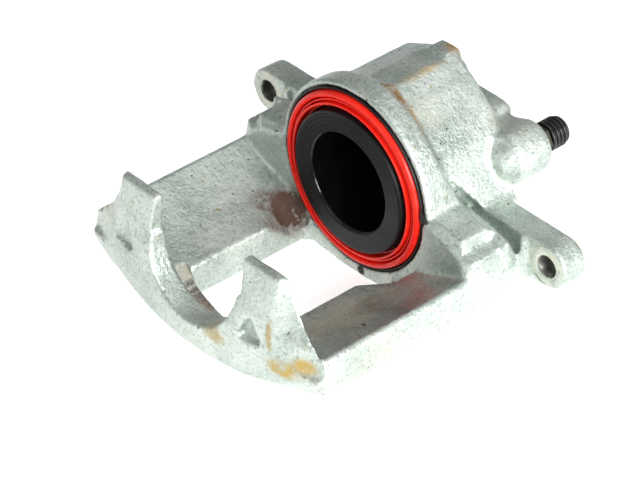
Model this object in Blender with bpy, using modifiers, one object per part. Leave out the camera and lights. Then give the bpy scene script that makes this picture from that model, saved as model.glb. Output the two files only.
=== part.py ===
"""Single-piston floating brake caliper for a passenger car.

The casting stands on the back of its bridge, with the two fingers up. All outlines and profiles are in
millimetres in the bore frame: its origin lies on the piston's axis in the front plane of the dust boot,
X runs from ear to ear, Y from the fingers to the closed end of the cylinder, and Z up. One empty carries
that frame, so that the finished part stands on Z = 0 with its bounding box centred on X = 0 and Y = 0.
"""

import math

import bmesh
import bpy
from mathutils import Matrix, Vector

MM = 0.001
OBJECT_NAME = "brake_caliper"

# Overall places, in millimetres in the bore frame
BASE_Z = -42.8
FRONT_Y = -84.0
BACK_Y = 74.9
CLEARANCE = 0.3

# Piston, bore and seal
PISTON_R = 30.0
PISTON_FRONT_Y = -2.3
PISTON_BACK_Y = 45.2
CUP_R = 20.4
CUP_FLOOR_Y = 36.0
BORE_R = PISTON_R + CLEARANCE
BORE_FLOOR_Y = 46.5
BOOT_GROOVE_Y = (1.6, 5.0)
BOOT_GROOVE_R = 28.4
SEAL_GROOVE_Y = (14.0, 18.6)
SEAL_GROOVE_R = 34.0

# Dust boot and its retaining ring
BOOT_R = 37.2
BOOT_BACK_Y = 7.7
BOOT_LIP_R = PISTON_R + 0.5
RING_R = 38.4
RING_Y = (0.8, 3.2)
TAB_TIP = (41.6, 1.9)
TAB_Y = (0.1, 1.0)

# Cylinder casting
COLLAR_R = 41.0
COLLAR_Y = (1.3, 12.5)
BODY_FRONT_R = 38.7
BODY_BACK_R = 35.6
BODY_BACK_Y = 52.0
BODY_EDGE_R = 6.0

# Bridge
ARC_CENTRE_Z = 107.9
BRIDGE_INNER_R = 136.0
BRIDGE_OUTER_R = 151.0
BRIDGE_INNER_X = 63.5
BRIDGE_OUTER_X = 66.0
WINDOW_X = 24.5
WINDOW_FRONT_Y = -60.0
WINDOW_BACK_Y = 0.6
BEAM_SWEEP_R = 280.0
BEAM_SWEEP_HALF = 65.6
RELIEF_R = 38.0

# Fingers
PAD_PLANE_Y = -72.7
MACHINING = 0.4
FINGER_TOP_Z = 15.5
SADDLE_R = 24.3

# Ears
EAR_X = 79.0
EAR_Z = -10.9
EAR_R = 9.5
EAR_Y = (27.2, 39.5)
EAR_HOLE_R = 4.1

# Bleeder and hose port, both square to the back
BLEEDER_X = 38.5
BLEEDER_Z = 10.0
BLEEDER_BOSS_R = 11.0
BOSS_BACK_Y = 60.0
BLEEDER_THREAD_R = 5.0
INLET_X = 13.0
INLET_Z = 9.5
INLET_THREAD_R = 5.0

RING_STEPS = 64
SMALL_STEPS = 24


def clear_scene():
    for old in list(bpy.data.objects):
        bpy.data.objects.remove(old, do_unlink=True)


def new_collection(name):
    collection = bpy.data.collections.new(name)
    bpy.context.scene.collection.children.link(collection)
    return collection


def material(name, colour, roughness, metallic):
    made = bpy.data.materials.new(name)
    made.use_nodes = True
    shader = made.node_tree.nodes["Principled BSDF"]
    shader.inputs["Base Color"].default_value = (*colour, 1.0)
    shader.inputs["Roughness"].default_value = roughness
    shader.inputs["Metallic"].default_value = metallic
    return made


def add_object(name, mesh, collection, at=(0, 0, 0)):
    """Links a mesh under the bore frame, with its origin at a point in millimetres."""
    made = bpy.data.objects.new(name, mesh)
    made.parent = bore_frame
    made.location = Vector(at) * MM
    collection.objects.link(made)
    return made


def as_cutter(made):
    made.hide_render = True
    made.display_type = "WIRE"
    return made


AXIS_TURNS = {
    "X": Matrix(((0, 0, 1, 0), (1, 0, 0, 0), (0, 1, 0, 0), (0, 0, 0, 1))),
    "Y": Matrix.Rotation(math.radians(90), 4, "X"),
    "Z": Matrix.Identity(4),
}


def prism(name, outline, axis, start, end):
    """A flat outline extruded along an axis. It is (y, z) for X, (x, z) for Y and (x, y) for Z."""
    curve = bpy.data.curves.new(name, "CURVE")
    curve.dimensions = "2D"
    curve.fill_mode = "BOTH"
    curve.extrude = (end - start) / 2 * MM
    spline = curve.splines.new("POLY")
    spline.points.add(len(outline) - 1)
    for point, (u, v) in zip(spline.points, outline):
        point.co = (u * MM, v * MM, 0, 1)
    spline.use_cyclic_u = True
    flat = bpy.data.objects.new(name + "_outline", curve)
    bpy.context.scene.collection.objects.link(flat)
    bpy.context.view_layer.update()
    mesh = bpy.data.meshes.new_from_object(flat.evaluated_get(bpy.context.evaluated_depsgraph_get()))
    bpy.data.objects.remove(flat, do_unlink=True)
    middle = (start + end) / 2 * MM
    offset = Vector([middle if letter == axis else 0 for letter in "XYZ"])
    weld(mesh)
    mesh.transform(Matrix.Translation(offset) @ AXIS_TURNS[axis])
    return as_cutter(add_object(name, mesh, cutters))


def weld(mesh):
    shell = bmesh.new()
    shell.from_mesh(mesh)
    bmesh.ops.remove_doubles(shell, verts=shell.verts, dist=1e-6)
    bmesh.ops.recalc_face_normals(shell, faces=shell.faces)
    shell.to_mesh(mesh)
    shell.free()


def turned(name, profile, collection, at=(0, 0, 0), steps=RING_STEPS, closed=False):
    """A profile of (radius, y) points turned about Y. An open profile starts and ends on the axis."""
    mesh = bpy.data.meshes.new(name)
    points = [(radius * MM, 0, y * MM) for radius, y in profile]
    edges = [(i, i + 1) for i in range(len(points) - 1)]
    if closed:
        edges.append((len(points) - 1, 0))
    mesh.from_pydata(points, edges, [])
    made = add_object(name, mesh, collection, at)
    made.rotation_euler = (math.radians(-90), 0, 0)
    screw = made.modifiers.new("turn", "SCREW")
    screw.axis = "Z"
    screw.steps = steps
    screw.render_steps = steps
    screw.use_merge_vertices = True
    screw.merge_threshold = 1e-5
    seam = made.modifiers.new("seam", "WELD")
    seam.merge_threshold = 2e-5
    return made


def round_bar(name, radius, axis_point, start, end, steps=SMALL_STEPS):
    """A plain round cutter or boss along Y."""
    x, z = axis_point
    profile = [(0, end), (radius, end), (radius, start), (0, start)]
    return as_cutter(turned(name, profile, cutters, at=(x, 0, z), steps=steps))


def loft(name, sections, axis="Y"):
    """A solid through unlike outlines at their own places on an axis, with points given as for a prism."""
    shell = bmesh.new()
    turns = {
        "X": lambda u, v, w: (w, u, v),
        "Y": lambda u, v, w: (u, w, v),
        "Z": lambda u, v, w: (u, v, w),
    }
    turn = turns[axis]
    rings = []
    for place, outline in sections:
        rings.append([shell.verts.new(Vector(turn(u, v, place)) * MM) for u, v in outline])
    for near, far in zip(rings, rings[1:]):
        for i in range(len(near)):
            j = (i + 1) % len(near)
            shell.faces.new((near[i], near[j], far[j], far[i]))
    shell.faces.new(rings[0])
    shell.faces.new(rings[-1])
    bmesh.ops.triangulate(shell, faces=shell.faces)
    bmesh.ops.recalc_face_normals(shell, faces=shell.faces)
    mesh = bpy.data.meshes.new(name)
    shell.to_mesh(mesh)
    shell.free()
    return as_cutter(add_object(name, mesh, cutters))


def combine(target, operation, others):
    for other in others:
        step = target.modifiers.new(other.name, "BOOLEAN")
        step.operation = operation
        step.object = other
        step.solver = "EXACT"


def arc(centre, radius, first, last, steps):
    """Points on an arc in the plane of an outline, angles in degrees."""
    angles = [math.radians(first + (last - first) * i / steps) for i in range(steps + 1)]
    return [(centre[0] + radius * math.cos(a), centre[1] + radius * math.sin(a)) for a in angles]


def both_sides(right_half):
    """A whole outline from its right half, listed from the middle out and back to the middle."""
    return right_half + [(-u, v) for u, v in reversed(right_half) if u > 1e-6]


def flipped(outline):
    return [(-u, v) for u, v in outline]


def bridge_arc(radius, half_width, steps):
    """The bridge's arc seen along Y, from its middle out to the right."""
    half_angle = math.degrees(math.asin(half_width / radius))
    return arc((0, ARC_CENTRE_Z), radius, -90, -90 + half_angle, steps)


def bridge_solids():
    outer = bridge_arc(BRIDGE_OUTER_R, BRIDGE_OUTER_X, 14)
    inner = list(reversed(bridge_arc(BRIDGE_INNER_R, BRIDGE_INNER_X, 14)))
    side = [(BRIDGE_OUTER_X, -20.0), (65.2, -14.0)]
    shell = prism("bridge_shell", both_sides(outer + side + inner), "Y", -73.1, 44.0)
    corner = arc((44.0, 6.0), 22.5, 0, 75, 6)
    plan = both_sides([(0, -80.0), (66.5, -80.0), (66.5, 0.0)] + corner + [(44.0, 43.0), (0, 43.0)])
    plan_cut = prism("bridge_plan", plan, "Z", -60.0, 0.0)
    combine(shell, "INTERSECT", [plan_cut])
    return shell


def front_beam():
    """The bowed beam across the front of the bridge, lofted from side to side under the outer arc."""
    middle = 6.0
    tops = {middle: -12.0, 16.0: -12.1, 26.0: -12.3, 36.4: -14.1, 45.2: -16.5, 52.3: -19.0, 58.1: -20.0}
    tops.update({62.5: -20.5, BEAM_SWEEP_HALF: -21.0})
    whole = {**tops, **{-x: z for x, z in tops.items()}}
    sections = []
    for x, top in sorted(whole.items()):
        front = FRONT_Y + math.sqrt(BEAM_SWEEP_R**2 - middle**2) - math.sqrt(BEAM_SWEEP_R**2 - x**2)
        front += max(0.0, abs(x) - 62.0) ** 2 / 10.0
        base = ARC_CENTRE_Z - math.sqrt((BRIDGE_OUTER_R - 0.25) ** 2 - x**2)
        lift = max(0.0, abs(x) - 20.0) ** 2 / 500.0
        rear = PAD_PLANE_Y + 2 * MACHINING
        depth = min(12.0, rear - front - 0.5)
        height = min(16.0, (top - base - lift) * 0.9)
        curve = arc((0, 0), 1.0, -90, -180, 6)
        low = [(front + depth + depth * u, base + lift + height + height * v) for u, v in curve]
        sections.append((x, [(rear, base + lift)] + low + [(front, top), (rear, top)]))
    return loft("front_beam", sections, "X")


def finger(side):
    """One finger on the beam, whose outer flank leans back to the side of the bridge, for side 1 or -1."""
    rear = PAD_PLANE_Y + MACHINING
    rows = [
        (FINGER_TOP_Z, 24.6, -76.9, 44.6, -76.9, 46.6),
        (4.0, 25.5, -78.9, 43.6, -78.9, 51.4),
        (-0.8, 26.0, -79.9, 43.8, -79.7, 54.2),
        (-1.3, 20.0, -80.1, 43.8, -79.8, 54.5),
        (-8.4, 20.0, -82.4, 44.6, -80.6, 60.0),
        (-9.2, 20.0, -82.6, 45.0, -80.6, 62.0),
        (-15.0, 20.0, -82.7, 48.5, -79.4, 64.8),
        (-24.2, 20.3, -82.2, 53.6, -77.8, 65.2),
    ]
    sections = []
    for z, inner, inner_front, outer, outer_front, outer_rear in rows:
        outline = [(inner, rear), (inner, inner_front), (outer, outer_front), (outer_rear, rear)]
        sections.append((z, outline if side > 0 else flipped(outline)))
    return loft("finger_right" if side > 0 else "finger_left", sections, "Z")


def abutment(side):
    """The stepped shoulder beside the cylinder where the bridge joins it, for side 1 or -1."""
    foot = [(50.0, -34.0), (30.0, -38.0)]
    sections = [
        (0.6, [(30.0, -0.5), (43.3, -0.6), (52.6, -3.3), (59.3, -6.5), (62.1, -13.8), (62.6, -22.0)]),
        (3.8, [(30.0, 3.0), (45.5, 2.8), (57.5, 0.6), (58.9, -4.6), (64.6, -5.8), (65.6, -22.0)]),
        (17.4, [(30.0, 3.0), (45.0, 2.8), (57.5, 0.6), (58.9, -4.6), (64.6, -5.8), (65.6, -22.0)]),
        (18.6, [(30.0, 3.0), (41.0, 2.2), (57.5, -0.8), (58.9, -1.2), (66.4, -2.8), (66.4, -22.0)]),
        (20.6, [(30.0, 2.6), (41.0, 1.8), (57.5, -1.2), (58.9, -1.6), (66.4, -3.4), (66.4, -22.0)]),
        (27.6, [(30.0, -8.0), (41.0, -9.0), (57.5, -14.0), (58.9, -15.0), (66.0, -18.5), (66.0, -22.0)]),
    ]
    lofted = []
    for y, outline in sections:
        whole = outline + foot
        lofted.append((y, whole if side > 0 else flipped(whole)))
    return loft("abutment_right" if side > 0 else "abutment_left", lofted)


def ear_plate():
    end = arc((EAR_X, EAR_Z), EAR_R, 90, -90, 14)
    right = [(0, 3.0), (44.0, -1.6)] + end + [(66.0, -21.8), (52.0, -31.0), (30.0, -37.5), (0, -38.0)]
    return prism("ear_plate", both_sides(right), "Y", *EAR_Y)


def ear_rib(side):
    x = side * 66.9
    rib = turned(
        "ear_rib_right" if side > 0 else "ear_rib_left",
        [(0, 18.2), (1.0, 18.0), (1.9, 17.0), (1.9, 0.0), (0, 0.0)],
        cutters,
        at=(x, EAR_Y[0] + 0.1, -20.6),
        steps=12,
    )
    rib.rotation_euler = (0, 0, 0)
    return as_cutter(rib)


def lobe(side):
    """The web from the cylinder down to an ear, with a front face that leans back."""
    outline = [(25.0, 17.0), (36.0, 16.4), (37.6, 13.0), (40.3, 8.6), (44.2, -0.5), (48.0, -5.0)]
    outline += [(25.0, -12.0)]
    shell = prism(
        "lobe_right" if side > 0 else "lobe_left", outline if side > 0 else flipped(outline), "Y", 5.0, 44.0
    )
    lean = [(12.3, 18.5), (27.3, -2.5), (27.3, -14.0), (46.0, -14.0), (46.0, 18.5)]
    lean_cut = prism(shell.name + "_lean", lean, "X", -60.0, 60.0)
    combine(shell, "INTERSECT", [lean_cut])
    return shell


def cylinder_solids():
    collar_front, collar_back = COLLAR_Y
    collar_profile = [
        (0, collar_back),
        (COLLAR_R - 0.4, collar_back),
        (COLLAR_R, collar_back - 0.6),
        (COLLAR_R, collar_front + 1.2),
        (COLLAR_R - 0.8, collar_front),
        (0, collar_front),
    ]
    collar = as_cutter(turned("collar", collar_profile, cutters))
    skirt_profile = [(0, 20.0), (COLLAR_R - 0.1, 20.0), (COLLAR_R - 0.1, 8.0), (0, 8.0)]
    skirt = as_cutter(turned("collar_skirt", skirt_profile, cutters))
    lean = [(11.0, 19.0), (19.6, 2.0), (20.5, 0.0), (20.5, -45.0), (11.0, -45.0)]
    combine(skirt, "INTERSECT", [prism("collar_skirt_lean", lean, "X", -50.0, 50.0)])
    edge = arc((BODY_BACK_R - BODY_EDGE_R, BODY_BACK_Y - BODY_EDGE_R), BODY_EDGE_R, 90, 0, 5)
    front = [(BODY_FRONT_R, 12.0), (BODY_FRONT_R, 9.3), (0, 9.3)]
    body = as_cutter(turned("body", [(0, BODY_BACK_Y)] + edge + front, cutters))
    land = [(-24.0, 29.0), (-20.0, 32.6), (-6.0, 38.8), (5.6, 40.2), (7.2, 40.0), (12.0, 37.8), (12.0, 29.0)]
    ridge = prism("top_land", land, "Y", 10.7, 49.4)
    facet = [(5.0, 30.0), (6.8, 39.9), (17.0, 35.2), (27.0, 27.4), (33.6, 20.6), (37.2, 15.6)]
    facet += [(34.4, 13.6), (20.0, 12.0)]
    shoulder = prism("side_facet", facet, "Y", 11.3, 51.5)
    corner = [(0, 10.1), (50.0, 10.1), (50.0, 42.3), (38.0, 43.1), (30.0, 47.0), (10.0, 48.7), (0, 48.9)]
    combine(shoulder, "INTERSECT", [prism("side_facet_plan", corner, "Z", 0.0, 50.0)])
    lug_outline = [(-5.0, 30.0), (-4.4, 40.6), (-3.0, 41.4), (5.0, 41.6), (6.8, 40.2), (8.0, 30.0)]
    lug = prism("top_lug", lug_outline, "Y", 43.0, 50.8)
    root_outline = [(-33.2, -14.0), (33.2, -14.0), (33.2, -34.0), (-33.2, -34.0)]
    root = prism("cylinder_root", root_outline, "Y", 16.0, 30.0)
    return [collar, skirt, body, root, ridge, shoulder, lug]


def boss_solids():
    radius = BLEEDER_BOSS_R
    boss_edge = [(0, BOSS_BACK_Y), (radius - 1.8, BOSS_BACK_Y), (radius - 0.5, BOSS_BACK_Y - 0.7)]
    boss_root = [(radius, 43.6), (radius - 3.0, 40.7), (4.6, 37.1), (0, 36.7)]
    boss_profile = boss_edge + [(radius, BOSS_BACK_Y - 2.0)] + boss_root
    place = (BLEEDER_X, 0, BLEEDER_Z)
    bleeder_boss = as_cutter(turned("bleeder_boss", boss_profile, cutters, at=place, steps=40))
    corners = [(23.0, 18.2, 90, 0), (23.0, 1.0, 0, -90), (4.0, 1.0, -90, -180), (4.0, 18.2, 180, 90)]
    outline = []
    for x, z, first, last in corners:
        outline += arc((x, z), 3.8, first, last, 4)
    inlet_boss = prism("inlet_boss", outline, "Y", 40.0, BOSS_BACK_Y - MACHINING)
    web_outline = [(20.0, 19.0), (37.5, 20.3), (37.5, 3.1), (20.0, 0.0)]
    boss_web = prism("boss_web", web_outline, "Y", 41.3, BOSS_BACK_Y - 2.5)
    return [bleeder_boss, inlet_boss, boss_web]


def casting_pockets():
    """Shallow draft pockets in the front faces of the fingers, which differ from side to side."""
    outlines = {
        "finger_pocket_left": [(-46.0, -11.6), (-33.6, -13.0), (-40.6, 5.4), (-43.6, 5.6)],
        "finger_pocket_right": [(38.6, -16.4), (26.8, -17.2), (30.6, -8.0), (34.0, -6.0)],
    }
    pockets = []
    for name, outline in outlines.items():
        base = outline[1][1]
        pocket = prism(name, outline, "Y", -95.0, -75.0)
        depth = [(-95.0, base - 1.0), (-78.4, base - 1.0), (-78.4, base + 3.0), (-79.6, 7.0), (-95.0, 7.0)]
        combine(pocket, "INTERSECT", [prism(name + "_depth", depth, "X", -60.0, 60.0)])
        pockets.append(pocket)
    return pockets


def corner_scoop(side):
    """The hollow beside the cylinder, where a back corner of the window opens out to 45 degrees."""
    near, far = WINDOW_X - 0.4, WINDOW_X + 0.3
    start = [(near, -26.4), (far, -25.7), (far, -15.0), (near, -15.0)]
    full = [(near, -36.0), (36.9, -23.0), (36.9, -15.0), (near, -15.0)]
    sections = [(-21.2, start), (-9.4, full), (WINDOW_BACK_Y, full)]
    if side < 0:
        sections = [(y, flipped(outline)) for y, outline in sections]
    return loft("corner_scoop_right" if side > 0 else "corner_scoop_left", sections)


def bore_cutters():
    bore_profile = [
        (0, BORE_FLOOR_Y),
        (BORE_R - 1.5, BORE_FLOOR_Y),
        (BORE_R, BORE_FLOOR_Y - 1.5),
        (BORE_R, SEAL_GROOVE_Y[1]),
        (SEAL_GROOVE_R, SEAL_GROOVE_Y[1]),
        (SEAL_GROOVE_R, SEAL_GROOVE_Y[0]),
        (BORE_R, SEAL_GROOVE_Y[0]),
        (BORE_R, BOOT_BACK_Y + CLEARANCE + 1.0),
        (BORE_R + 1.0, BOOT_BACK_Y + CLEARANCE),
        (BOOT_R + CLEARANCE, BOOT_BACK_Y + CLEARANCE),
        (BOOT_R + CLEARANCE, RING_Y[1] + CLEARANCE),
        (RING_R + CLEARANCE, RING_Y[1] + CLEARANCE),
        (RING_R + CLEARANCE, -5.0),
        (0, -5.0),
    ]
    bore = as_cutter(turned("bore", bore_profile, cutters))
    seat_profile = [
        (0, 65.0),
        (BLEEDER_THREAD_R + CLEARANCE, 65.0),
        (BLEEDER_THREAD_R + CLEARANCE, 47.0),
        (4.0, 46.0),
        (4.0, 44.8),
        (1.5, 42.0),
        (1.5, 39.0),
        (0, 39.0),
    ]
    seat = as_cutter(turned("bleeder_hole", seat_profile, cutters, at=(BLEEDER_X, 0, BLEEDER_Z), steps=SMALL_STEPS))
    distance = math.hypot(BLEEDER_X, BLEEDER_Z)
    passage_profile = [(0, distance), (1.3, distance), (1.3, 28.0), (0, 28.0)]
    passage = as_cutter(turned("bleeder_passage", passage_profile, cutters, at=(0, 40.6, 0), steps=12))
    passage.rotation_euler = (0, math.atan2(BLEEDER_X, BLEEDER_Z), 0)
    port_profile = [
        (0, 65.0),
        (INLET_THREAD_R + 0.9, 65.0),
        (INLET_THREAD_R + 0.9, BOSS_BACK_Y - MACHINING),
        (INLET_THREAD_R, BOSS_BACK_Y - 1.4),
        (INLET_THREAD_R, 50.5),
        (2.2, 49.0),
        (2.2, 44.0),
        (0, 44.0),
    ]
    port = as_cutter(turned("inlet_port", port_profile, cutters, at=(INLET_X, 0, INLET_Z), steps=SMALL_STEPS))
    return [bore, seat, passage, port]


def housing_cutters():
    corner = arc((WINDOW_X - 4.0, WINDOW_BACK_Y - 4.0), 4.0, 0, 90, 4)
    half_window = [(0, WINDOW_FRONT_Y), (WINDOW_X, WINDOW_FRONT_Y)] + corner + [(0, WINDOW_BACK_Y)]
    window = prism("window", both_sides(half_window), "Z", -60.0, -20.0)
    saddle = round_bar("saddle", SADDLE_R, (0, 0), -95.0, PAD_PLANE_Y + 1.0, 64)
    relief = round_bar("pad_face_relief", RELIEF_R, (0, 0), PAD_PLANE_Y, WINDOW_FRONT_Y + 0.2, 64)
    below = [(-80.0, BASE_Z - 4.0), (80.0, BASE_Z - 4.0), (80.0, BASE_Z), (-80.0, BASE_Z)]
    base = prism("base_flat", below, "Y", -95.0, 65.0)
    ear_holes = [
        round_bar("ear_hole_right", EAR_HOLE_R, (EAR_X, EAR_Z), 20.0, 50.0, 28),
        round_bar("ear_hole_left", EAR_HOLE_R, (-EAR_X, EAR_Z), 20.0, 50.0, 28),
    ]
    scoops = [corner_scoop(1), corner_scoop(-1)]
    return [window, saddle, relief, base] + scoops + ear_holes + casting_pockets()


def make_housing():
    housing = bridge_solids()
    housing.name = "caliper_housing"
    cutters.objects.unlink(housing)
    parts.objects.link(housing)
    housing.hide_render = False
    housing.display_type = "TEXTURED"
    both_abutments = [abutment(1), abutment(-1)]
    lobes = [lobe(1), lobe(-1)]
    ribs = [ear_rib(1), ear_rib(-1)]
    front = [front_beam(), finger(1), finger(-1)]
    solids = front + [ear_plate()] + both_abutments + lobes + ribs + cylinder_solids() + boss_solids()
    combine(housing, "UNION", solids)
    combine(housing, "DIFFERENCE", housing_cutters() + bore_cutters())
    merge = housing.modifiers.new("merge", "WELD")
    merge.merge_threshold = 2e-5
    housing.data.materials.append(material("zinc_plated_casting", (0.55, 0.58, 0.54), 0.42, 0.85))
    return housing


def make_piston():
    front, back = PISTON_FRONT_Y, PISTON_BACK_Y
    groove_front, groove_back = BOOT_GROOVE_Y
    profile = [
        (0, back),
        (PISTON_R - 2.0, back),
        (PISTON_R, back - 2.0),
        (PISTON_R, groove_back),
        (BOOT_GROOVE_R, groove_back),
        (BOOT_GROOVE_R, groove_front),
        (PISTON_R, groove_front),
        (PISTON_R, front + 0.8),
        (PISTON_R - 0.8, front),
        (CUP_R + 0.8, front),
        (CUP_R, front + 0.8),
        (CUP_R - 0.6, CUP_FLOOR_Y - 4.0),
        (CUP_R - 4.6, CUP_FLOOR_Y),
        (0, CUP_FLOOR_Y),
    ]
    piston = turned("piston", profile, parts)
    piston.data.materials.append(material("phenolic", (0.012, 0.013, 0.014), 0.3, 0.0))
    return piston


def make_seal():
    front = SEAL_GROOVE_Y[0] + CLEARANCE
    back = SEAL_GROOVE_Y[1] - CLEARANCE
    inner = PISTON_R + CLEARANCE
    outer = SEAL_GROOVE_R - CLEARANCE
    seal = turned("piston_seal", [(inner, back), (outer, back), (outer, front), (inner, front)], parts, closed=True)
    seal.data.materials.append(material("seal_rubber", (0.02, 0.02, 0.02), 0.6, 0.0))
    return seal


def make_boot():
    outer_ring = [(BOOT_R, BOOT_BACK_Y), (BOOT_R, 0.8), (BOOT_R - 0.7, 0.0), (35.6, 0.0), (34.9, 0.8), (34.9, 4.8)]
    inner_ring = [(34.3, 4.8), (34.3, -1.2), (33.7, -1.9), (32.8, -1.9), (32.2, -1.2), (32.2, 2.1)]
    lip = [(BOOT_LIP_R, 2.1), (BOOT_LIP_R, 4.6), (32.2, 4.6), (33.2, 6.4), (34.9, 6.4), (34.9, BOOT_BACK_Y)]
    boot = turned("dust_boot", outer_ring + inner_ring + lip, parts, closed=True)
    boot.data.materials.append(material("boot_silicone", (0.9, 0.03, 0.015), 0.35, 0.0))
    return boot


def make_ring():
    front, back = RING_Y
    inner = BOOT_R + CLEARANCE + 0.1
    profile = [(RING_R, back), (RING_R, front + 0.3), (RING_R - 0.3, front), (inner, front), (inner, back)]
    ring = turned("boot_retaining_ring", profile, parts, closed=True)
    tip_x, tip_z = TAB_TIP
    tab_outline = [(37.6, 6.4), (39.2, 5.0), (tip_x, tip_z), (tip_x - 0.6, tip_z - 1.0), (38.1, 0.5)]
    tab = prism("ring_tab", tab_outline, "Y", *TAB_Y)
    combine(ring, "UNION", [tab])
    ring.data.materials.append(material("black_spring_steel", (0.02, 0.018, 0.018), 0.45, 0.3))
    return ring


def make_bleeder():
    at = (BLEEDER_X, 0, BLEEDER_Z)
    thread_r = BLEEDER_THREAD_R
    profile = [
        (0, 72.6),
        (2.6, 72.6),
        (3.6, 71.0),
        (3.6, 70.2),
        (3.0, 69.6),
        (3.0, 63.0),
        (thread_r, 62.0),
        (thread_r, 48.2),
        (3.6, 47.4),
        (3.6, 45.2),
        (1.1, 42.5),
        (0, 42.5),
    ]
    bleeder = turned("bleeder_screw", profile, parts, at=at, steps=SMALL_STEPS)
    hex_profile = [(0, 64.4), (6.0, 64.4), (6.35, 64.0), (6.35, 60.6), (6.0, 60.3), (0, 60.3)]
    hexagon = as_cutter(turned("bleeder_hex", hex_profile, cutters, at=at, steps=6))
    drilling = round_bar("bleeder_drilling", 0.9, (BLEEDER_X, BLEEDER_Z), 46.4, 75.0, 12)
    cross_profile = [(0, 8.0), (0.8, 8.0), (0.8, -8.0), (0, -8.0)]
    place = (BLEEDER_X, 46.6, BLEEDER_Z)
    cross = as_cutter(turned("bleeder_cross", cross_profile, cutters, at=place, steps=12))
    cross.rotation_euler = (0, 0, math.pi / 2)
    combine(bleeder, "UNION", [hexagon])
    combine(bleeder, "DIFFERENCE", [drilling, cross])
    bleeder.data.materials.append(material("dark_plated_steel", (0.06, 0.06, 0.045), 0.4, 0.9))
    return bleeder


def make_cap():
    ribs = []
    for rib in range(4):
        y = 72.3 - 1.9 * rib
        ribs += [(6.3, y), (6.3, y - 1.0), (5.7, y - 1.25), (5.7, y - 1.65)]
    dome = [(0, BACK_Y), (2.4, BACK_Y - 0.2), (4.4, BACK_Y - 0.9), (5.7, BACK_Y - 2.0)]
    inside = [(6.2, 64.8), (4.1, 64.8), (4.1, 73.2), (0, 73.2)]
    cap = turned("bleeder_cap", dome + ribs + inside, parts, at=(BLEEDER_X, 0, BLEEDER_Z), steps=SMALL_STEPS)
    cap.data.materials.append(material("cap_rubber", (0.012, 0.012, 0.013), 0.4, 0.0))
    return cap


def make_plug():
    at = (INLET_X, 0, INLET_Z)
    profile = [
        (0, 62.2),
        (4.8, 62.2),
        (5.4, 61.7),
        (5.4, 60.4),
        (4.5, 60.4),
        (4.5, 59.0),
        (4.1, 53.5),
        (3.4, 52.5),
        (2.6, 52.5),
        (2.6, 58.6),
        (0, 58.6),
    ]
    plug = turned("inlet_plug", profile, parts, at=at, steps=SMALL_STEPS)
    plug.data.materials.append(material("plug_plastic", (0.75, 0.55, 0.02), 0.45, 0.0))
    return plug


def shade(made):
    made.data.shade_smooth()
    made.data.set_sharp_from_angle(angle=math.radians(30))


clear_scene()
parts = new_collection(OBJECT_NAME)
cutters = new_collection("cutters")
bore_frame = bpy.data.objects.new("bore_frame", None)
bore_frame.location = (0, -(FRONT_Y + BACK_Y) / 2 * MM, -BASE_Z * MM)
parts.objects.link(bore_frame)
for made_part in (
    make_housing(),
    make_piston(),
    make_seal(),
    make_boot(),
    make_ring(),
    make_bleeder(),
    make_cap(),
    make_plug(),
):
    shade(made_part)
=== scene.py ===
"""The look of a single-piston floating brake caliper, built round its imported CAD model.

Outlines, profiles and places are in millimetres in the bore frame: its origin lies on the piston's axis in
the front plane of the dust boot, X runs from ear to ear, Y from the fingers to the closed end, and Z up.
"""

import math

import bmesh
import bpy
import numpy as np
from mathutils import Matrix, Vector


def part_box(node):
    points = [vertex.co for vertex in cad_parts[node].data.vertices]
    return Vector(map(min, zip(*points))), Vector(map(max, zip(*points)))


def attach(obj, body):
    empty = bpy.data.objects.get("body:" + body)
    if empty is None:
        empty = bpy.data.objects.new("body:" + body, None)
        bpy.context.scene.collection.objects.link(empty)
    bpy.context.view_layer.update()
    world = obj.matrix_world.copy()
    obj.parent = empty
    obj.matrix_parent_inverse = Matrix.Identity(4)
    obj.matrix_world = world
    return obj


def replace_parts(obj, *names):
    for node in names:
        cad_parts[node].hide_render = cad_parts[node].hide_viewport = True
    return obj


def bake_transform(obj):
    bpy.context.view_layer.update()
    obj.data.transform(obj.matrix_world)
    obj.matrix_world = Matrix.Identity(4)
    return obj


MM = 0.001

# Casting
CELL = 0.9
BOOT_FRONT = 1.9
EAR = (79.0, -10.9)
BLEEDER = (38.5, 10.0)
INLET = (13.0, 9.5)
BOSS_BACK = 60.0

# Camera, as angles in degrees and lengths in millimetres
CAMERA_AZIMUTH = 47.62
CAMERA_ELEVATION = 36.416
CAMERA_ROLL = 0.363
CAMERA_DISTANCE = 1445.07
CAMERA_ASIDE = -11.98
CAMERA_BELOW = -22.78
CAMERA_LENS = 212.07

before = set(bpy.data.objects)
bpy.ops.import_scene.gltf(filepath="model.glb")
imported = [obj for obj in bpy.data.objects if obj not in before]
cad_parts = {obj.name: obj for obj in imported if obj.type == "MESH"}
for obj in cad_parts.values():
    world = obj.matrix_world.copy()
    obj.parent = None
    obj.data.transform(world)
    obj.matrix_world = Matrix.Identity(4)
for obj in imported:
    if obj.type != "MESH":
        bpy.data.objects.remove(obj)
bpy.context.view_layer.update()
boot_low, boot_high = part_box("dust_boot")
BORE = Vector((0.0, boot_low.y + BOOT_FRONT * MM, (boot_low.z + boot_high.z) / 2))


def place(x, y, z):
    return BORE + Vector((x, y, z)) * MM


def link(made):
    bpy.context.scene.collection.objects.link(made)
    return made


def tidy_mesh(name, points, faces, smooth_angle=35.0):
    """A mesh from points in the bore frame, with its normals outwards and its sharp edges marked."""
    mesh = bpy.data.meshes.new(name)
    mesh.from_pydata([place(*point) for point in points], [], faces)
    shell = bmesh.new()
    shell.from_mesh(mesh)
    bmesh.ops.recalc_face_normals(shell, faces=shell.faces)
    shell.to_mesh(mesh)
    shell.free()
    mesh.shade_smooth()
    mesh.set_sharp_from_angle(angle=math.radians(smooth_angle))
    return mesh


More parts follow.
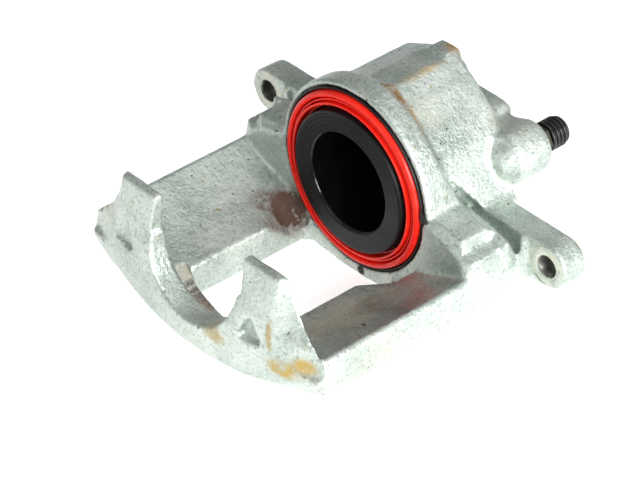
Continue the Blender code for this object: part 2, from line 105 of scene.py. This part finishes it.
def lathe(name, profile, at=(0.0, 0.0), segments=160, closed=False, radius_at=None):
    """A profile of (radius, y) points turned about Y at (x, z). An open one starts and ends on the axis."""
    points, rings, faces = [], [], []
    for radius, y in profile:
        count = 1 if radius < 1e-6 else segments
        rings.append(list(range(len(points), len(points) + count)))
        for i in range(count):
            turn = 2 * math.pi * i / segments
            reach = radius_at(radius, y, turn) if radius_at and count > 1 else radius
            points.append((at[0] + reach * math.cos(turn), y, at[1] + reach * math.sin(turn)))
    pairs = list(zip(rings, rings[1:])) + ([(rings[-1], rings[0])] if closed else [])
    for near, far in pairs:
        for i in range(segments):
            j = (i + 1) % segments
            corners = [near[i % len(near)], near[j % len(near)], far[j % len(far)], far[i % len(far)]]
            faces.append(list(dict.fromkeys(corners)))
    return link(bpy.data.objects.new(name, tidy_mesh(name, points, faces)))


def rounded(points, steps=4, closed=False):
    """A smooth curve through a profile's points."""
    count = len(points)
    made = []
    last = count if closed else count - 1
    for i in range(last):
        if closed:
            a, b, c, d = (Vector(points[(i + k) % count]) for k in (-1, 0, 1, 2))
        else:
            a, b, c, d = (Vector(points[min(max(i + k, 0), count - 1)]) for k in (-1, 0, 1, 2))
        for step in range(steps):
            t = step / steps
            bend = b * 2 + (c - a) * t + (a * 2 - b * 5 + c * 4 - d) * t**2 + (b * 3 - a - c * 3 + d) * t**3
            made.append(tuple(bend / 2))
    return made if closed else made + [tuple(points[-1])]


class Shader:
    """A Principled material whose colour, roughness and bump are built from procedural nodes."""

    def __init__(self, name, roughness, metallic=0.0):
        self.material = bpy.data.materials.new(name)
        self.material.use_nodes = True
        self.tree = self.material.node_tree
        self.surface = self.tree.nodes["Principled BSDF"]
        self.surface.inputs["Roughness"].default_value = roughness
        self.surface.inputs["Metallic"].default_value = metallic
        self.where = self.tree.nodes.new("ShaderNodeTexCoord").outputs["Object"]

    def plug(self, source, target):
        if isinstance(source, bpy.types.NodeSocket):
            self.tree.links.new(source, target)
        else:
            target.default_value = source

    def noise(self, scale, detail=4.0, rough=0.6, where=None):
        node = self.tree.nodes.new("ShaderNodeTexNoise")
        node.inputs["Scale"].default_value = scale
        node.inputs["Detail"].default_value = detail
        node.inputs["Roughness"].default_value = rough
        self.plug(where or self.where, node.inputs["Vector"])
        return node.outputs["Fac"]

    def cells(self, scale):
        node = self.tree.nodes.new("ShaderNodeTexVoronoi")
        node.inputs["Scale"].default_value = scale
        self.plug(self.where, node.inputs["Vector"])
        return node.outputs["Distance"]

    def ramp(self, value, low, high, start=0.0, end=1.0):
        node = self.tree.nodes.new("ShaderNodeMapRange")
        node.interpolation_type = "SMOOTHSTEP"
        for name, amount in (("Value", value), ("From Min", low), ("From Max", high)):
            self.plug(amount, node.inputs[name])
        node.inputs["To Min"].default_value = start
        node.inputs["To Max"].default_value = end
        return node.outputs["Result"]

    def maths(self, operation, a, b=0.0):
        node = self.tree.nodes.new("ShaderNodeMath")
        node.operation = operation
        node.use_clamp = operation in ("MULTIPLY", "MAXIMUM")
        self.plug(a, node.inputs[0])
        self.plug(b, node.inputs[1])
        return node.outputs["Value"]

    def mix(self, share, a, b):
        node = self.tree.nodes.new("ShaderNodeMix")
        node.data_type = "RGBA"
        self.plug(share, node.inputs["Factor"])
        for value, name in ((a, "A"), (b, "B")):
            socket = [s for s in node.inputs if s.name == name and s.type == "RGBA"][0]
            self.plug((*value, 1.0) if isinstance(value, tuple) else value, socket)
        return [s for s in node.outputs if s.type == "RGBA"][0]

    def near(self, spot, reach, stretch=(1.0, 1.0, 1.0)):
        """1 at a place in the bore frame, falling to 0 at its reach, both in millimetres."""
        centre = place(*spot)
        shift = self.tree.nodes.new("ShaderNodeVectorMath")
        shift.operation = "SUBTRACT"
        self.plug(self.where, shift.inputs[0])
        shift.inputs[1].default_value = centre
        scale = self.tree.nodes.new("ShaderNodeVectorMath")
        scale.operation = "MULTIPLY"
        self.plug(shift.outputs["Vector"], scale.inputs[0])
        scale.inputs[1].default_value = [1.0 / amount for amount in stretch]
        length = self.tree.nodes.new("ShaderNodeVectorMath")
        length.operation = "LENGTH"
        self.plug(scale.outputs["Vector"], length.inputs[0])
        return self.ramp(length.outputs["Value"], reach * MM, reach * MM * 0.35)

    def colour(self, source):
        self.plug(source, self.surface.inputs["Base Color"])

    def roughness(self, source):
        self.plug(source, self.surface.inputs["Roughness"])

    def bump(self, *layers):
        """Bump from (height, depth in millimetres) layers."""
        below = None
        for height, depth in layers:
            node = self.tree.nodes.new("ShaderNodeBump")
            node.inputs["Distance"].default_value = depth * MM
            self.plug(height, node.inputs["Height"])
            if below:
                self.plug(below, node.inputs["Normal"])
            below = node.outputs["Normal"]
        self.plug(below, self.surface.inputs["Normal"])


# Stains and rust on the casting, and painted shade where the bridge's right inner face turns away from the side lamp.
STAINS_AND_SHADE = (
    # place, reach, stretch, colour, strength
    ((-31.5, -5.0, -29.0), 11.5, (1.0, 1.0, 1.0), (0.085, 0.050, 0.034), 1.6),
    ((-36.0, -12.0, -24.0), 8.0, (1.0, 1.2, 1.0), (0.10, 0.058, 0.04), 0.8),
    ((15.0, 13.2, 37.4), 5.5, (2.2, 0.55, 1.5), (0.17, 0.085, 0.02), 0.95),
    ((6.8, 13.5, 39.6), 3.6, (1.6, 1.0, 1.0), (0.20, 0.10, 0.02), 0.9),
    ((22.5, 13.2, 32.5), 4.6, (1.6, 0.5, 1.6), (0.24, 0.13, 0.04), 0.8),
    ((6.6, 30.0, 40.2), 3.2, (0.9, 5.0, 0.7), (0.40, 0.26, 0.07), 0.55),
    ((4.0, 49.0, 41.0), 5.0, (1.3, 1.0, 0.8), (0.26, 0.14, 0.035), 0.75),
    ((20.0, 20.0, 33.0), 11.0, (1.0, 1.0, 1.0), (0.52, 0.47, 0.34), 0.22),
    ((49.0, -79.0, -21.5), 7.0, (1.3, 1.0, 0.8), (0.46, 0.32, 0.06), 0.95),
    ((56.0, -74.5, -17.5), 6.0, (1.4, 1.0, 0.8), (0.42, 0.29, 0.07), 0.8),
    ((43.0, -80.0, -9.0), 5.0, (0.4, 1.0, 2.0), (0.42, 0.30, 0.08), 0.7),
    ((15.0, -82.0, -22.0), 7.0, (1.2, 1.0, 0.8), (0.44, 0.32, 0.10), 0.7),
    # the next two: the bridge's right inner face, turned away from the side lamp: painted shade, with some brown
    # staining
    ((40.0, -42.0, -20.0), 17.0, (1.0, 2.0, 1.0), (0.30, 0.24, 0.15), 0.5),
    ((43.0, -22.0, -20.0), 12.0, (1.0, 1.6, 1.0), (0.20, 0.15, 0.11), 0.55),
    ((79.0, 27.5, -10.9), 10.0, (1.0, 1.0, 1.0), (0.44, 0.42, 0.22), 0.35),
    ((-79.0, 27.5, -10.9), 10.0, (1.0, 1.0, 1.0), (0.62, 0.58, 0.34), 0.5),
    # a small near-black spot low on the housing front
    ((5.5, 0.5, -40.0), 2.6, (1.0, 1.0, 1.0), (0.02, 0.018, 0.016), 1.4),
    ((-37.0, 3.0, 17.0), 6.0, (1.0, 0.6, 1.4), (0.30, 0.20, 0.10), 0.5),
)


def zinc_casting():
    """Sand-cast iron under bright zinc: fine sand grain, cloudy passivation, yellow specks, rust bleeds, and painted
    shade on the bridge's right inner face.
    """
    made = Shader("zinc_plated_casting", 0.4, 0.72)
    cloud = made.noise(48.0, 6.0, 0.62)
    grain = made.noise(780.0, 3.0, 0.7)
    tone = made.mix(made.ramp(cloud, 0.32, 0.68), (0.40, 0.47, 0.425), (0.60, 0.66, 0.61))
    tone = made.mix(made.ramp(grain, 0.50, 0.66, 0.0, 0.32), tone, (0.80, 0.82, 0.79))
    tone = made.mix(made.ramp(grain, 0.46, 0.33, 0.0, 0.55), tone, (0.17, 0.185, 0.17))
    tint = made.ramp(made.noise(21.0, 5.0, 0.6), 0.55, 0.80, 0.0, 0.34)
    tone = made.mix(tint, tone, (0.56, 0.50, 0.33))
    flecks = made.maths(
        "MULTIPLY", made.ramp(made.noise(320.0, 2.0, 0.5), 0.69, 0.73), made.ramp(made.noise(40.0), 0.45, 0.65)
    )
    tone = made.mix(flecks, tone, (0.40, 0.27, 0.055))
    pits = made.ramp(made.noise(410.0, 1.0, 0.4), 0.255, 0.225)
    tone = made.mix(made.maths("MULTIPLY", pits, 0.8), tone, (0.045, 0.04, 0.035))
    blotch = made.noise(150.0, 5.0, 0.7)
    # the stained places and the painted-shade places together, also made rougher and less metallic
    stain_and_shade = 0.0
    for spot, reach, stretch, colour, strength in STAINS_AND_SHADE:
        here = made.near(spot, reach, stretch)
        ragged = made.maths("MULTIPLY", here, made.ramp(blotch, 0.32, 0.58, strength * 0.3, strength * 1.2))
        tone = made.mix(ragged, tone, colour)
        stain_and_shade = made.maths("MAXIMUM", ragged, stain_and_shade)
    made.colour(tone)
    made.roughness(made.maths("ADD", made.ramp(cloud, 0.3, 0.7, 0.34, 0.47), made.maths("MULTIPLY", stain_and_shade, 0.35)))
    made.plug(made.ramp(stain_and_shade, 0.0, 1.0, 0.72, 0.05), made.surface.inputs["Metallic"])
    made.bump((made.noise(230.0, 4.0, 0.6), 0.42), (grain, 0.30), (made.noise(1900.0, 2.0, 0.5), 0.05))
    return made.material


def zinc_machined():
    """The same plating over turned and milled faces: smoother, with fine tool marks and a yellow cast."""
    made = Shader("zinc_plated_machined", 0.34, 0.85)
    cloud = made.noise(90.0, 5.0, 0.6)
    tone = made.mix(made.ramp(cloud, 0.35, 0.7), (0.48, 0.51, 0.46), (0.62, 0.62, 0.50))
    made.colour(made.mix(made.ramp(made.noise(700.0), 0.45, 0.35, 0.0, 0.5), tone, (0.22, 0.22, 0.19)))
    made.roughness(made.ramp(made.noise(1200.0, 3.0), 0.3, 0.7, 0.26, 0.44))
    made.bump((made.noise(1300.0, 3.0, 0.6), 0.03))
    return made.material


def bore_metal():
    """A darker metal finish inside the drillings and the bore."""
    made = Shader("bore_metal", 0.38, 0.8)
    made.colour(made.mix(made.ramp(made.noise(160.0, 5.0), 0.35, 0.7), (0.12, 0.12, 0.11), (0.30, 0.30, 0.27)))
    made.bump((made.noise(1500.0, 3.0), 0.02))
    return made.material


def red_silicone():
    made = Shader("boot_silicone", 0.30)
    cloud = made.noise(70.0, 5.0, 0.6)
    tone = made.mix(made.ramp(cloud, 0.3, 0.7), (0.80, 0.012, 0.004), (0.95, 0.022, 0.008))
    dust = made.maths("MULTIPLY", made.ramp(made.noise(1400.0, 2.0), 0.60, 0.68), made.ramp(cloud, 0.45, 0.7, 0.0, 0.6))
    made.colour(made.mix(dust, tone, (0.75, 0.10, 0.06)))
    made.roughness(made.ramp(made.noise(120.0, 4.0), 0.3, 0.7, 0.24, 0.42))
    made.surface.inputs["Specular IOR Level"].default_value = 0.35
    made.bump((made.noise(900.0, 3.0), 0.02), (made.noise(60.0, 3.0), 0.10))
    return made.material


def black_phenolic():
    """Moulded and ground phenolic: a dull ground face and a glossy moulded cup."""
    made = Shader("phenolic", 0.3)
    cloud = made.noise(85.0, 6.0, 0.65)
    tone = made.mix(made.ramp(cloud, 0.3, 0.7), (0.0035, 0.004, 0.0045), (0.008, 0.009, 0.0095))
    made.colour(made.mix(made.ramp(made.noise(1700.0, 2.0), 0.64, 0.72, 0.0, 0.4), tone, (0.030, 0.032, 0.032)))
    made.roughness(made.ramp(cloud, 0.3, 0.7, 0.34, 0.48))
    made.surface.inputs["Specular IOR Level"].default_value = 0.22
    made.bump((made.noise(1500.0, 3.0), 0.02))
    return made.material


def glossy_phenolic():
    made = Shader("phenolic_moulded", 0.12)
    cloud = made.noise(60.0, 5.0)
    made.colour(made.mix(made.ramp(cloud, 0.3, 0.7), (0.002, 0.002, 0.0022), (0.006, 0.006, 0.007)))
    made.roughness(made.ramp(made.noise(200.0, 4.0), 0.3, 0.7, 0.07, 0.16))
    made.surface.inputs["Specular IOR Level"].default_value = 0.4
    made.bump((made.noise(140.0, 3.0), 0.02))
    return made.material


def black_rubber(name, roughness):
    made = Shader(name, roughness)
    cloud = made.noise(130.0, 5.0)
    tone = made.mix(made.ramp(cloud, 0.3, 0.7), (0.003, 0.003, 0.0035), (0.009, 0.009, 0.0095))
    made.colour(made.mix(made.ramp(made.noise(1600.0, 2.0), 0.66, 0.74, 0.0, 0.5), tone, (0.035, 0.035, 0.033)))
    made.roughness(made.ramp(made.noise(400.0, 4.0), 0.3, 0.7, roughness - 0.08, roughness + 0.08))
    made.bump((made.noise(1200.0, 3.0), 0.03))
    return made.material


def black_steel():
    """Oil-blacked spring steel with brown wear along it."""
    made = Shader("black_steel", 0.42, 0.6)
    cloud = made.noise(120.0, 6.0, 0.7)
    tone = made.mix(made.ramp(cloud, 0.35, 0.65), (0.012, 0.010, 0.010), (0.035, 0.028, 0.026))
    made.colour(made.mix(made.ramp(made.noise(300.0, 4.0), 0.62, 0.72, 0.0, 0.5), tone, (0.10, 0.03, 0.018)))
    made.roughness(made.ramp(cloud, 0.3, 0.7, 0.34, 0.5))
    made.bump((made.noise(1300.0, 3.0), 0.02))
    return made.material


def dark_plated_steel():
    made = Shader("dark_plated_steel", 0.36, 0.85)
    cloud = made.noise(200.0, 5.0)
    tone = made.mix(made.ramp(cloud, 0.35, 0.65), (0.045, 0.043, 0.032), (0.10, 0.095, 0.07))
    made.colour(made.mix(made.ramp(made.noise(900.0), 0.62, 0.72, 0.0, 0.6), tone, (0.20, 0.18, 0.12)))
    made.roughness(made.ramp(cloud, 0.3, 0.7, 0.28, 0.46))
    made.bump((made.noise(1500.0, 3.0), 0.015))
    return made.material


def plug_plastic():
    made = Shader("plug_plastic", 0.42)
    cloud = made.noise(110.0, 5.0)
    tone = made.mix(made.ramp(cloud, 0.3, 0.7), (0.62, 0.40, 0.02), (0.78, 0.52, 0.035))
    made.colour(made.mix(made.ramp(made.noise(1300.0, 2.0), 0.62, 0.70, 0.0, 0.4), tone, (0.30, 0.22, 0.08)))
    made.roughness(made.ramp(made.noise(300.0), 0.3, 0.7, 0.36, 0.5))
    made.bump((made.noise(1000.0, 3.0), 0.02))
    return made.material


def finish(made, body, slot, *materials, replaces=None):
    """Gives a piece its materials and its body, and hides the CAD node it stands for. The slot argument is not used."""
    if not made.data.materials:
        for material in materials:
            made.data.materials.append(material)
    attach(made, body)
    if replaces:
        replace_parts(made, replaces)
    return made


def applied(made):
    """The object's mesh with its modifiers applied, and the modifiers gone."""
    bpy.context.view_layer.update()
    shaped = bpy.data.meshes.new_from_object(made.evaluated_get(bpy.context.evaluated_depsgraph_get()))
    made.modifiers.clear()
    made.data = shaped
    return made


def machining_cutters(machined, dim):
    """Turned cutters for the faces that are crisp on the real casting, each with its own finish."""
    bore = [
        (0, 46.6),
        (28.9, 46.6),
        (30.4, 45.1),
        (30.4, 9.1),
        (31.4, 8.1),
        (37.62, 8.1),
        (37.62, 3.6),
        (38.82, 3.6),
        (38.82, -6.0),
        (0, -6.0),
    ]
    cutters = [(lathe("cut_bore", bore), dim)]
    for side in (1, -1):
        hole = [(0, 50.0), (5.2, 50.0), (5.2, 39.6), (4.35, 38.7), (4.35, 28.1), (5.2, 27.2), (5.2, 15.0), (0, 15.0)]
        at = (side * EAR[0], EAR[1])
        cutters.append((lathe("cut_ear_hole", hole, at, 64), dim))
        cutters.append((lathe("cut_ear_front", [(0, 27.5), (8.4, 27.5), (8.4, 16.0), (0, 16.0)], at, 96), machined))
        cutters.append((lathe("cut_ear_back", [(0, 49.0), (8.6, 49.0), (8.6, 39.25), (0, 39.25)], at, 96), machined))
    relief = [(0, -59.9), (38.1, -59.9), (38.1, -72.75), (0, -72.75)]
    cutters.append((lathe("cut_relief", relief, segments=200), machined))
    boss = [(0, 70.0), (12.5, 70.0), (12.5, BOSS_BACK - 0.2), (5.9, BOSS_BACK - 0.2), (5.45, BOSS_BACK - 0.8)]
    boss += [(5.45, 47.0), (0, 46.0)]
    cutters.append((lathe("cut_bleeder_face", boss, BLEEDER, 96), machined))
    port = [(0, 70.0), (7.6, 70.0), (7.6, BOSS_BACK - 0.7), (6.0, BOSS_BACK - 0.7), (5.1, BOSS_BACK - 1.7)]
    port += [(5.1, 50.4), (0, 49.4)]
    cutters.append((lathe("cut_inlet_face", port, INLET, 96), machined))
    for cutter, material in cutters:
        cutter.data.materials.append(material)
    return [cutter for cutter, _ in cutters]


def cast_housing():
    """The casting with cast fillets and a lumpy skin, machined again where the real one is machined."""
    cast, machined, dim = zinc_casting(), zinc_machined(), bore_metal()
    made = link(bpy.data.objects.new("cast_housing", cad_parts["caliper_housing"].data.copy()))
    made.data.materials.clear()
    made.data.materials.append(cast)
    cells = made.modifiers.new("cells", "REMESH")
    cells.mode = "VOXEL"
    cells.voxel_size = CELL * MM
    relax = made.modifiers.new("relax", "SMOOTH")
    relax.factor = 0.5
    relax.iterations = 9
    for name, grain, depth in (("lumps", 9.0, 0.34), ("ripples", 3.2, 0.16)):
        texture = bpy.data.textures.new(name, "CLOUDS")
        texture.noise_scale = grain * MM
        texture.noise_depth = 2
        lumps = made.modifiers.new(name, "DISPLACE")
        lumps.texture = texture
        lumps.texture_coords = "LOCAL"
        lumps.mid_level = 0.5
        lumps.strength = depth * MM
    applied(made)
    cutters = machining_cutters(machined, dim)
    for cutter in cutters:
        cut = made.modifiers.new(cutter.name, "BOOLEAN")
        cut.operation = "DIFFERENCE"
        cut.solver = "EXACT"
        cut.material_mode = "TRANSFER"
        cut.object = cutter
    applied(made)
    for cutter in cutters:
        bpy.data.objects.remove(cutter, do_unlink=True)
    made.data.shade_smooth()
    made.data.set_sharp_from_angle(angle=math.radians(50))
    return finish(made, "caliper_body", "zinc_plated_casting", replaces="caliper_housing")


def dust_boot():
    """The red boot: a fat outer bead, two thin convolutions and a lip in the piston's groove."""
    bead = [(37.15, 5.5), (37.2, 3.0), (37.1, 0.9), (36.6, -0.2), (35.6, -0.7), (34.8, -0.3), (34.5, 0.9), (34.4, 3.8)]
    thin = [(34.1, 3.8), (34.0, 0.6), (33.75, 0.1), (33.4, 0.1), (33.15, 0.6), (33.05, 3.4)]
    inner = [(32.8, 3.4), (32.7, -0.6), (32.45, -1.2), (31.9, -1.2), (31.6, -0.6), (31.5, 1.8)]
    lip = [(30.7, 2.2), (30.6, 3.4), (30.7, 4.6), (32.2, 5.0), (33.4, 6.4), (35.0, 6.9), (36.6, 7.3)]
    profile = rounded(bead + thin + inner + lip, 4, closed=True)
    made = lathe("dust_boot_convolutions", profile, segments=224, closed=True)
    made.data.materials.append(red_silicone())
    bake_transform(made)
    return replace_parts(made, "dust_boot")


def piston():
    """The moulded phenolic cup, its ground front face with fine turned rings and a glossy inside."""
    outside = [(0, 45.1), (27.8, 45.1), (29.4, 44.5), (29.95, 43.1), (29.95, 5.0), (28.6, 4.9), (28.5, 4.6)]
    outside += [(28.5, 2.0), (28.6, 1.7), (29.95, 1.6), (29.95, -1.3), (29.7, -2.0), (29.2, -2.3)]
    face = []
    for ring in (28.6, 27.1, 25.4, 23.6):
        face += [(ring, -2.3), (ring - 0.12, -2.275), (ring - 0.3, -2.275), (ring - 0.42, -2.3)]
    rim = [(21.9, -2.3), (21.2, -2.05), (20.75, -1.5), (20.6, -0.8)]
    cup = [(20.2, 12.0), (19.8, 30.0), (19.3, 33.0), (17.8, 35.2), (15.5, 36.0), (6.0, 36.0), (0, 36.0)]
    made = lathe("piston_cup", outside + face + rim + cup, segments=200)
    made.data.materials.append(black_phenolic())
    made.data.materials.append(glossy_phenolic())
    depth = place(0, -1.9, 0).y
    for face_made in made.data.polygons:
        middle = face_made.center - BORE
        if math.hypot(middle.x, middle.z) < 21.5 * MM and face_made.center.y > depth:
            face_made.material_index = 1
    return finish(made, "piston", "phenolic", replaces="piston")


def retaining_ring():
    """The black ring pressed round the boot, with its pointed pulling tab at the side."""
    profile = rounded([(38.3, 3.1), (38.35, 1.4), (38.1, 0.9), (37.75, 0.9), (37.55, 1.3), (37.55, 3.1)], 3, True)
    made = lathe("retaining_ring", profile, segments=224, closed=True)
    outline = [(37.7, 6.3), (39.0, 5.2), (40.3, 3.4), (41.5, 1.9), (41.3, 1.2), (40.4, 1.0), (38.2, 0.7), (37.7, 1.0)]
    points = [(x, y, z) for y in (0.25, 1.0) for x, z in outline]
    count = len(outline)
    faces = [list(range(count)), list(range(2 * count - 1, count - 1, -1))]
    faces += [[i, (i + 1) % count, (i + 1) % count + count, i + count] for i in range(count)]
    tab = link(bpy.data.objects.new("tab", tidy_mesh("tab", points, faces)))
    fold = tab.modifiers.new("edge", "BEVEL")
    fold.width = 0.15 * MM
    fold.segments = 2
    applied(tab)
    join = bmesh.new()
    join.from_mesh(made.data)
    join.from_mesh(tab.data)
    join.to_mesh(made.data)
    join.free()
    bpy.data.objects.remove(tab, do_unlink=True)
    return finish(made, "caliper_body", "black_steel", black_steel(), replaces="boot_retaining_ring")


def bleeder_cap():
    """The ribbed rubber cap on the bleeder, with a soft domed end."""
    profile = [(4.15, 64.9), (5.6, 64.85), (6.15, 65.1), (6.28, 65.7), (6.15, 66.3)]
    for y in (66.55, 68.45, 70.35):
        profile += [(5.55, y), (5.5, y + 0.35), (6.1, y + 0.65), (6.28, y + 1.1), (6.1, y + 1.55)]
    profile += [(5.5, 72.5), (5.45, 72.8), (5.7, 73.1), (5.5, 73.7), (4.6, 74.3), (2.8, 74.75), (0, 74.85)]
    inside = [(0, 73.3), (3.9, 73.3), (4.1, 73.1)]
    shape = rounded(profile, 3)
    made = lathe("bleeder_cap_ribbed", inside + shape, BLEEDER, 96)
    return finish(made, "bleeder_cap", "cap_rubber", black_rubber("cap_rubber", 0.36), replaces="bleeder_cap")


def keep_node(node, material):
    """Shows a CAD node as it is, with a finished material."""
    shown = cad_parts[node]
    for slot in shown.material_slots:
        slot.material = material


def add_floor():
    """A wide pale floor that just touches the caliper's resting face."""
    reach = 3000.0
    size = 24
    level = -BORE.z / MM
    steps = [reach * (2 * i / size - 1) for i in range(size + 1)]
    points = [(x, y, level) for y in steps for x in steps]
    row = size + 1
    faces = []
    for j in range(size):
        for i in range(size):
            first = j * row + i
            faces.append([first, first + 1, first + row + 1, first + row])
    floor = link(bpy.data.objects.new("floor", tidy_mesh("floor", points, faces)))
    pale = Shader("pale_floor", 0.75)
    pale.colour(pale.mix(pale.ramp(pale.noise(3.0), 0.3, 0.7), (0.90, 0.90, 0.90), (0.93, 0.93, 0.925)))
    pale.surface.inputs["Emission Color"].default_value = (1.0, 1.0, 1.0, 1.0)
    pale.surface.inputs["Emission Strength"].default_value = 0.62
    pale.surface.inputs["Specular IOR Level"].default_value = 0.1
    floor.data.materials.append(pale.material)


def add_light(name, position, energy, width, height, colour):
    lamp = bpy.data.lights.new(name, "AREA")
    lamp.shape = "RECTANGLE"
    lamp.energy = energy
    lamp.size = width
    lamp.size_y = height
    lamp.color = colour
    made = link(bpy.data.objects.new(name, lamp))
    made.location = Vector(position)
    made.rotation_mode = "QUATERNION"
    made.rotation_quaternion = (Vector((0, 0, 0.04)) - made.location).to_track_quat("-Z", "Y")


def add_lights():
    world = bpy.data.worlds.new("studio")
    world.use_nodes = True
    sky = world.node_tree.nodes["Background"]
    sky.inputs["Color"].default_value = (1.0, 1.0, 1.0, 1.0)
    sky.inputs["Strength"].default_value = 0.30
    bpy.context.scene.world = world
    add_light("side_softbox", (0.95, -0.10, 0.42), 16.0, 0.8, 0.5, (1.0, 1.0, 1.0))
    add_light("top_softbox", (0.25, 0.35, 1.05), 2.6, 0.7, 0.7, (1.0, 1.0, 1.0))
    add_light("front_softbox", (-0.25, -1.10, 0.55), 2.2, 0.7, 0.5, (1.0, 1.0, 1.0))


def add_camera():
    azimuth, elevation, roll = (math.radians(a) for a in (CAMERA_AZIMUTH, CAMERA_ELEVATION, CAMERA_ROLL))
    flat = math.cos(elevation)
    back = Vector((math.sin(azimuth) * flat, -math.cos(azimuth) * flat, math.sin(elevation)))
    level = Vector((math.cos(azimuth), math.sin(azimuth), 0))
    upward = back.cross(level)
    right = level * math.cos(roll) + upward * math.sin(roll)
    up = upward * math.cos(roll) - level * math.sin(roll)
    where = BORE + (back * CAMERA_DISTANCE + right * CAMERA_ASIDE + up * CAMERA_BELOW) * MM
    lens = bpy.data.cameras.new("camera")
    lens.lens = CAMERA_LENS
    lens.sensor_width = 36.0
    lens.clip_end = 20.0
    camera = link(bpy.data.objects.new("camera", lens))
    turn = Matrix((right, up, back)).transposed().to_4x4()
    turn.translation = where
    camera.matrix_world = turn
    bpy.context.scene.camera = camera


add_camera()
add_floor()
add_lights()
bpy.context.scene.view_settings.view_transform = "Standard"
cast_housing()
dust_boot()
piston()
retaining_ring()
bleeder_cap()
keep_node("piston_seal", black_rubber("seal_rubber", 0.5))
keep_node("bleeder_screw", dark_plated_steel())
keep_node("inlet_plug", plug_plastic())
